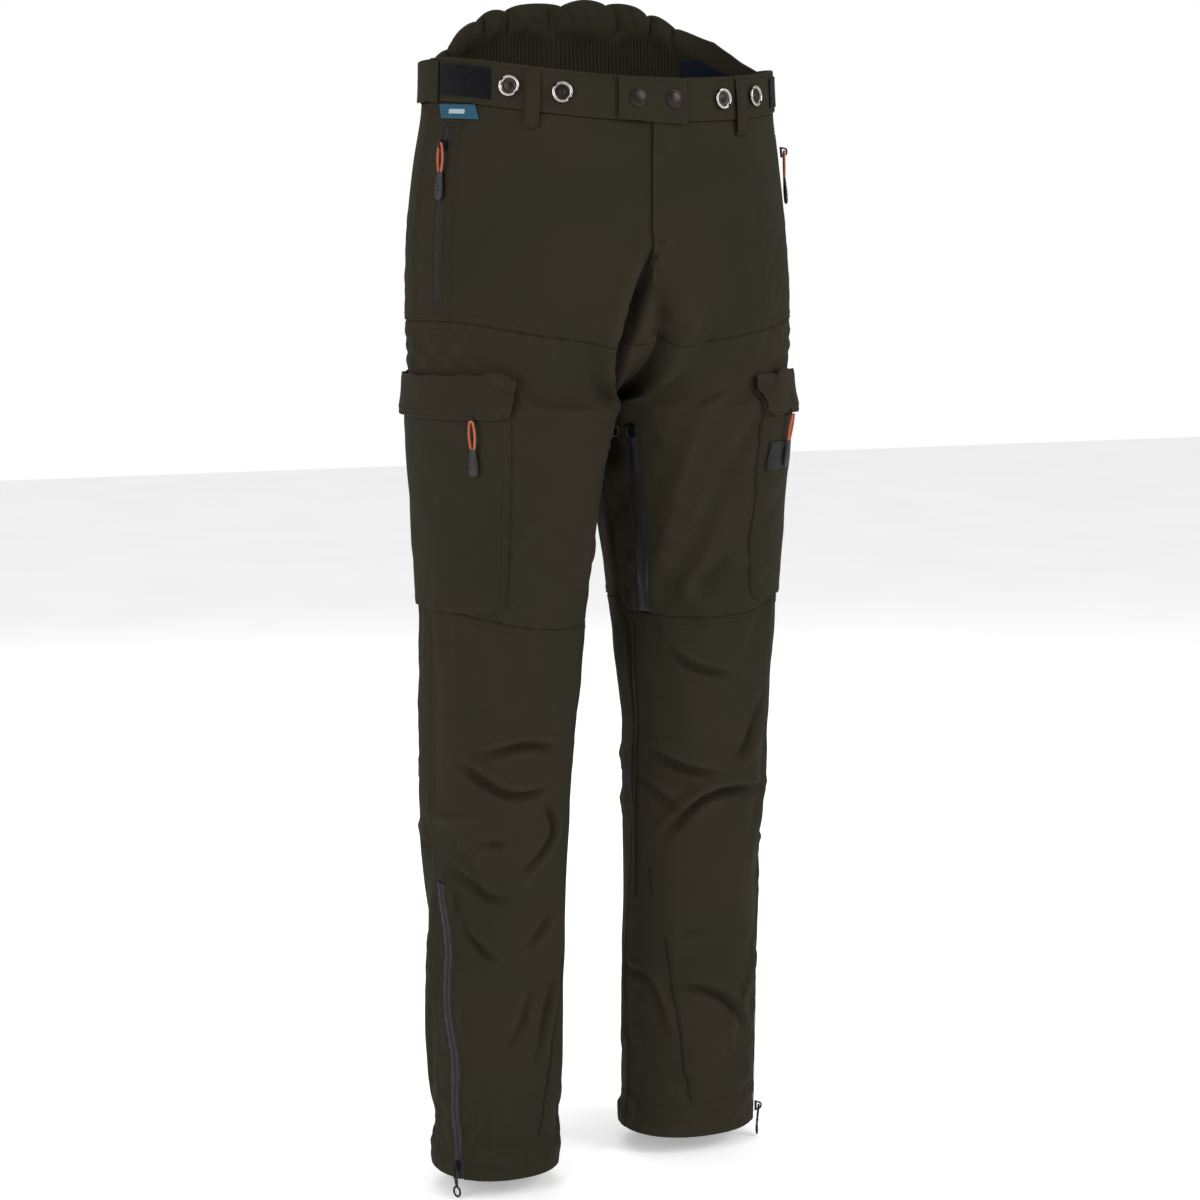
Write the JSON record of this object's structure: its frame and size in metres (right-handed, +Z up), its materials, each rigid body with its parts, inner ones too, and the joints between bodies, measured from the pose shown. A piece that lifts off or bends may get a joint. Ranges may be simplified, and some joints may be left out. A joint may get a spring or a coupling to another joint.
{
  "type": "chainsaw protection trousers",
  "caption": "Full-length chainsaw protection trousers with a raised elastic back, saw pads inside the legs, zipped pockets, side adjusters and knees that bend.",
  "frame": {"origin": "on the ground under the middle of the trousers, level with the lowest tip of the hanging leg-zip pulls, 16.9 mm below the hems", "axes": "+Z up, the front faces -Y, the wearer's right leg is on -X"},
  "size_m": [0.4108, 0.2529, 1.1828],
  "materials": {
    "outer_cloth": "matt dark olive-brown stretch softshell with a fine twill weave",
    "elastic": "ribbed elastic cloth",
    "protective_pad": "quilted cut-protection fibre",
    "hook_and_loop": "black fuzzy loop tape",
    "zip_tape": "black zip tape with moulded teeth",
    "cord": "orange cord with a dark moulded grip",
    "black_metal": "gunmetal",
    "steel": "brushed nickel"
  },
  "bodies": {
    "trousers": {"front_yoke_right": "outer_cloth", "thigh_front_right": "outer_cloth", "back_panel_right": "outer_cloth", "front_yoke_left": "outer_cloth", "thigh_front_left": "outer_cloth", "back_panel_left": "outer_cloth", "knee_right": "outer_cloth", "knee_left": "outer_cloth", "saw_pad_right": "protective_pad", "saw_pad_left": "protective_pad", "waistband_right": "outer_cloth", "waistband_left": "outer_cloth", "elastic_back_rise": "elastic", "stud_strip": "black_metal", "brace_button_1": "steel", "brace_button_2": "steel", "brace_button_3": "steel", "brace_button_4": "steel", "belt_loop_front_right": "outer_cloth", "belt_loop_front_left": "outer_cloth", "belt_loop_back_right": "outer_cloth", "belt_loop_back_left": "outer_cloth", "loop_patch_right": "hook_and_loop", "loop_patch_left": "hook_and_loop", "pocket_zip_right": "zip_tape", "vent_zip_right": "zip_tape", "pocket_zip_left": "zip_tape", "vent_zip_left": "zip_tape", "fly_zip": "zip_tape", "cargo_pocket_right": "outer_cloth", "cargo_zip_right": "zip_tape", "cargo_pocket_left": "outer_cloth", "cargo_zip_left": "zip_tape"},
    "waist_tab": {"waist_tab": "outer_cloth", "press_stud_cap_1": "black_metal", "press_stud_cap_2": "black_metal"},
    "fly_slider": {"fly_slider": "black_metal"},
    "adjuster_tab_right": {"adjuster_tab_right": "outer_cloth"},
    "pocket_slider_right": {"pocket_slider_right": "black_metal"},
    "pocket_pull_right": {"pocket_pull_right": "cord"},
    "cargo_flap_right": {"cargo_flap_right": "outer_cloth"},
    "cargo_slider_right": {"cargo_slider_right": "black_metal"},
    "cargo_pull_right": {"cargo_pull_right": "cord"},
    "vent_slider_right": {"vent_slider_right": "black_metal"},
    "leg_slider_right": {"leg_slider_right": "black_metal"},
    "leg_pull_right": {"leg_pull_right": "black_metal"},
    "shin_right": {"lower_leg_right": "outer_cloth", "leg_zip_right": "zip_tape"},
    "adjuster_tab_left": {"adjuster_tab_left": "outer_cloth"},
    "pocket_slider_left": {"pocket_slider_left": "black_metal"},
    "pocket_pull_left": {"pocket_pull_left": "cord"},
    "cargo_flap_left": {"cargo_flap_left": "outer_cloth"},
    "cargo_slider_left": {"cargo_slider_left": "black_metal"},
    "cargo_pull_left": {"cargo_pull_left": "cord"},
    "vent_slider_left": {"vent_slider_left": "black_metal"},
    "leg_slider_left": {"leg_slider_left": "black_metal"},
    "leg_pull_left": {"leg_pull_left": "black_metal"},
    "shin_left": {"lower_leg_left": "outer_cloth", "leg_zip_left": "zip_tape"}
  },
  "joints": [
    {"name": "waist_tab_open", "type": "hinge", "parent": "trousers", "child": "waist_tab", "pos_m": [0.03279, -0.12174, 1.07461], "axis": [0, 0, 1], "range_deg": [0, 100]},
    {"name": "fly_zip_slide", "type": "slide", "parent": "trousers", "child": "fly_slider", "axis": [0, 0.0034, -1], "range_m": [0, 0.115]},
    {"name": "adjuster_right_open", "type": "hinge", "parent": "trousers", "child": "adjuster_tab_right", "pos_m": [-0.1755, 0.03737, 1.09299], "axis": [0, 0, -1], "range_deg": [0, 100]},
    {"name": "pocket_zip_right_slide", "type": "slide", "parent": "trousers", "child": "pocket_slider_right", "axis": [-0.0681, 0.0354, -0.9971], "range_m": [0, 0.132]},
    {"name": "pocket_pull_right_swing", "type": "hinge", "parent": "pocket_slider_right", "child": "pocket_pull_right", "pos_m": [-0.18873, -0.04378, 1.03121], "axis": [-0.3966, 0.916, 0.0596], "range_deg": [0, 120]},
    {"name": "cargo_flap_right_lift", "type": "hinge", "parent": "trousers", "child": "cargo_flap_right", "pos_m": [-0.18336, -0.00817, 0.8154], "axis": [-0.0937, 0.9956, 0], "range_deg": [0, 45]},
    {"name": "cargo_zip_right_slide", "type": "hinge", "parent": "trousers", "child": "cargo_slider_right", "pos_m": [-0.05101, 0.00506, 0.77156], "axis": [0, 0, -1], "range_deg": [0, 55]},
    {"name": "cargo_pull_right_swing", "type": "hinge", "parent": "cargo_slider_right", "child": "cargo_pull_right", "pos_m": [-0.17527, -0.08203, 0.77137], "axis": [-0.6346, 0.7729, 0], "range_deg": [0, 100]},
    {"name": "vent_zip_right_slide", "type": "slide", "parent": "trousers", "child": "vent_slider_right", "axis": [-0.1197, 0.0536, -0.9914], "range_m": [0, 0.163]},
    {"name": "knee_right_bend", "type": "hinge", "parent": "trousers", "child": "shin_right", "pos_m": [-0.114, -0.00328, 0.4619], "axis": [1, 0, 0], "range_deg": [0, 75], "deforming": ["knee_right", "saw_pad_right"]},
    {"name": "leg_zip_right_slide", "type": "slide", "parent": "shin_right", "child": "leg_slider_right", "axis": [-0.0375, 0.0448, 0.9983], "range_m": [0, 0.262]},
    {"name": "leg_pull_right_swing", "type": "hinge", "parent": "leg_slider_right", "child": "leg_pull_right", "pos_m": [-0.17747, -0.03446, 0.03104], "axis": [-0.3575, 0.9323, -0.0552], "range_deg": [0, 120]},
    {"name": "adjuster_left_open", "type": "hinge", "parent": "trousers", "child": "adjuster_tab_left", "pos_m": [0.17596, 0.03737, 1.09291], "axis": [0, 0, 1], "range_deg": [0, 100]},
    {"name": "pocket_zip_left_slide", "type": "slide", "parent": "trousers", "child": "pocket_slider_left", "axis": [0.133, 0.0352, -0.9905], "range_m": [0, 0.132]},
    {"name": "pocket_pull_left_swing", "type": "hinge", "parent": "pocket_slider_left", "child": "pocket_pull_left", "pos_m": [0.18797, -0.04314, 1.03165], "axis": [-0.3949, -0.9147, -0.0855], "range_deg": [0, 120]},
    {"name": "cargo_flap_left_lift", "type": "hinge", "parent": "trousers", "child": "cargo_flap_left", "pos_m": [0.19177, -0.02698, 0.81524], "axis": [-0.2946, -0.9556, 0], "range_deg": [0, 45]},
    {"name": "cargo_zip_left_slide", "type": "hinge", "parent": "trousers", "child": "cargo_slider_left", "pos_m": [0.08073, 0.0037, 0.77108], "axis": [0, 0, 1], "range_deg": [0, 64]},
    {"name": "cargo_pull_left_swing", "type": "hinge", "parent": "cargo_slider_left", "child": "cargo_pull_left", "pos_m": [0.16873, -0.09696, 0.77062], "axis": [-0.8063, -0.5915, 0], "range_deg": [0, 100]},
    {"name": "vent_zip_left_slide", "type": "slide", "parent": "trousers", "child": "vent_slider_left", "axis": [0.1242, 0.0922, -0.988], "range_m": [0, 0.163]},
    {"name": "knee_left_bend", "type": "hinge", "parent": "trousers", "child": "shin_left", "pos_m": [0.114, 0.00928, 0.4619], "axis": [1, 0, 0], "range_deg": [0, 75], "deforming": ["knee_left", "saw_pad_left"]},
    {"name": "leg_zip_left_slide", "type": "slide", "parent": "shin_left", "child": "leg_slider_left", "axis": [0.0161, 0.0065, 0.9998], "range_m": [0, 0.262]},
    {"name": "leg_pull_left_swing", "type": "hinge", "parent": "leg_slider_left", "child": "leg_pull_left", "pos_m": [0.18918, -0.00585, 0.03109], "axis": [-0.3849, -0.9229, 0.0122], "range_deg": [0, 120]}
  ]
}
